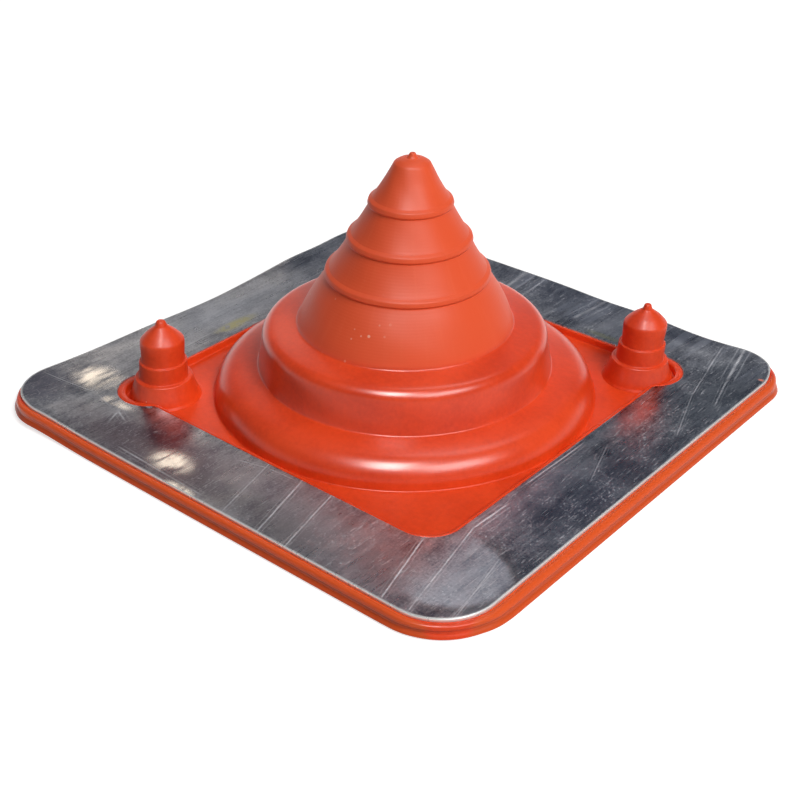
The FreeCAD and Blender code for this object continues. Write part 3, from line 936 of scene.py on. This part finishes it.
def set_camera():
    """The camera that took the photo, as fitted to it."""
    data = bpy.data.cameras.new("camera")
    data.lens = LENS
    data.sensor_width = 36.0
    data.sensor_fit = "HORIZONTAL"
    data.clip_start = 0.01
    data.clip_end = 20.0
    camera = bpy.data.objects.new("camera", data)
    back = back_way(CAMERA_TURN, CAMERA_RISE)
    place = (Vector(CAMERA_AIM) + back * CAMERA_AWAY) * MM
    camera.matrix_world = Matrix.Translation(place) @ looking(back, CAMERA_ROLL)
    bpy.context.scene.collection.objects.link(camera)
    bpy.context.scene.camera = camera


def panel(name, turn, rise, away, wide, high, power, colour=WHITE, lit=(), diffuse=True, glossy=True):
    """A soft panel that faces the object from a turn and rise, sizes in metres. It lights the pieces in
    lit alone where there are any, and can leave out diffuse light or highlights."""
    data = bpy.data.lights.new(name, "AREA")
    data.shape = "RECTANGLE"
    data.size, data.size_y = wide, high
    data.energy = power
    data.color = colour
    lamp = bpy.data.objects.new(name, data)
    back = back_way(turn, rise)
    lamp.matrix_world = Matrix.Translation(back * away + PANEL_AIM) @ looking(back)
    bpy.context.scene.collection.objects.link(lamp)
    lamp.visible_diffuse, lamp.visible_glossy = diffuse, glossy
    if lit:
        lamp.light_linking.receiver_collection = bpy.data.collections.new(name)
        for piece in lit:
            lamp.light_linking.receiver_collection.objects.link(piece)


def set_world():
    """What the camera sees is white; reflections see it white up to a little over the horizon, under a
    calm grey ceiling; as light it is one soft level all round."""
    world = bpy.data.worlds.new("studio")
    bpy.context.scene.world = world
    world.use_nodes = True
    tree = world.node_tree
    background = tree.nodes["Background"]
    way = Value(tree, None).node("ShaderNodeTexCoord", out="Generated")
    mirrored, seen = seen_rays(tree)
    overhead = split(way)[2].ramp(COVE_LOW, COVE_HIGH) * mirrored
    tree.links.new(overhead.mix(WHITE, CEILING).socket, background.inputs["Color"])
    tree.links.new(seen.mixed(AMBIENT, 1.0).socket, background.inputs["Strength"])


def set_floor():
    """A pale floor that takes a soft shadow; a little light of its own, more of it far out where the
    panels don't reach, keeps it white to the camera and in reflections."""
    corners = [(-1, -1, 0), (1, -1, 0), (1, 1, 0), (-1, 1, 0)]
    mesh = bpy.data.meshes.new("floor")
    mesh.from_pydata([Vector(corner) * FLOOR_REACH for corner in corners], [], [(0, 1, 2, 3)])
    floor = bpy.data.objects.new("floor", mesh)
    floor.location.z = -FLOOR_DROP
    bpy.context.scene.collection.objects.link(floor)
    material, surface, place = shader("floor")
    x, y = split(place)[:2]
    away = (x * x + y * y) ** 0.5
    surface.inputs["Base Color"].default_value = (0.6, 0.6, 0.6, 1)
    surface.inputs["Roughness"].default_value = 0.9
    surface.inputs["Specular IOR Level"].default_value = 0.0
    glow = seen_rays(material.node_tree)[1] * away.ramp(*FLOOR_GLOW_AT).mixed(*FLOOR_GLOW)
    feed(surface, "Emission Color", glow.mix(BLACK, WHITE))
    surface.inputs["Emission Strength"].default_value = 1.0
    mesh.materials.append(material)


boot = build_boot()
rubber = silicone()
for part in boot:
    part.data.materials.append(rubber)
build_metal().data.materials.append(aluminium())

set_camera()
set_world()
set_floor()
panel("key", turn=76, rise=48, away=0.75, wide=0.40, high=0.3, power=4.9)
panel("core", turn=27, rise=61, away=0.75, wide=0.18, high=0.34, power=7.8, lit=boot, diffuse=False)
panel("back", turn=190, rise=66, away=1.0, wide=0.5, high=0.3, power=1.3)
panel("fill", turn=222, rise=20, away=1.0, wide=0.6, high=0.4, power=3.2, lit=boot, glossy=False)
panel("spark", turn=232.5, rise=31.5, away=0.9, wide=0.13, high=0.12, power=0.075, colour=(1.0, 0.88, 0.74))

bpy.context.scene.view_settings.view_transform = "Standard"
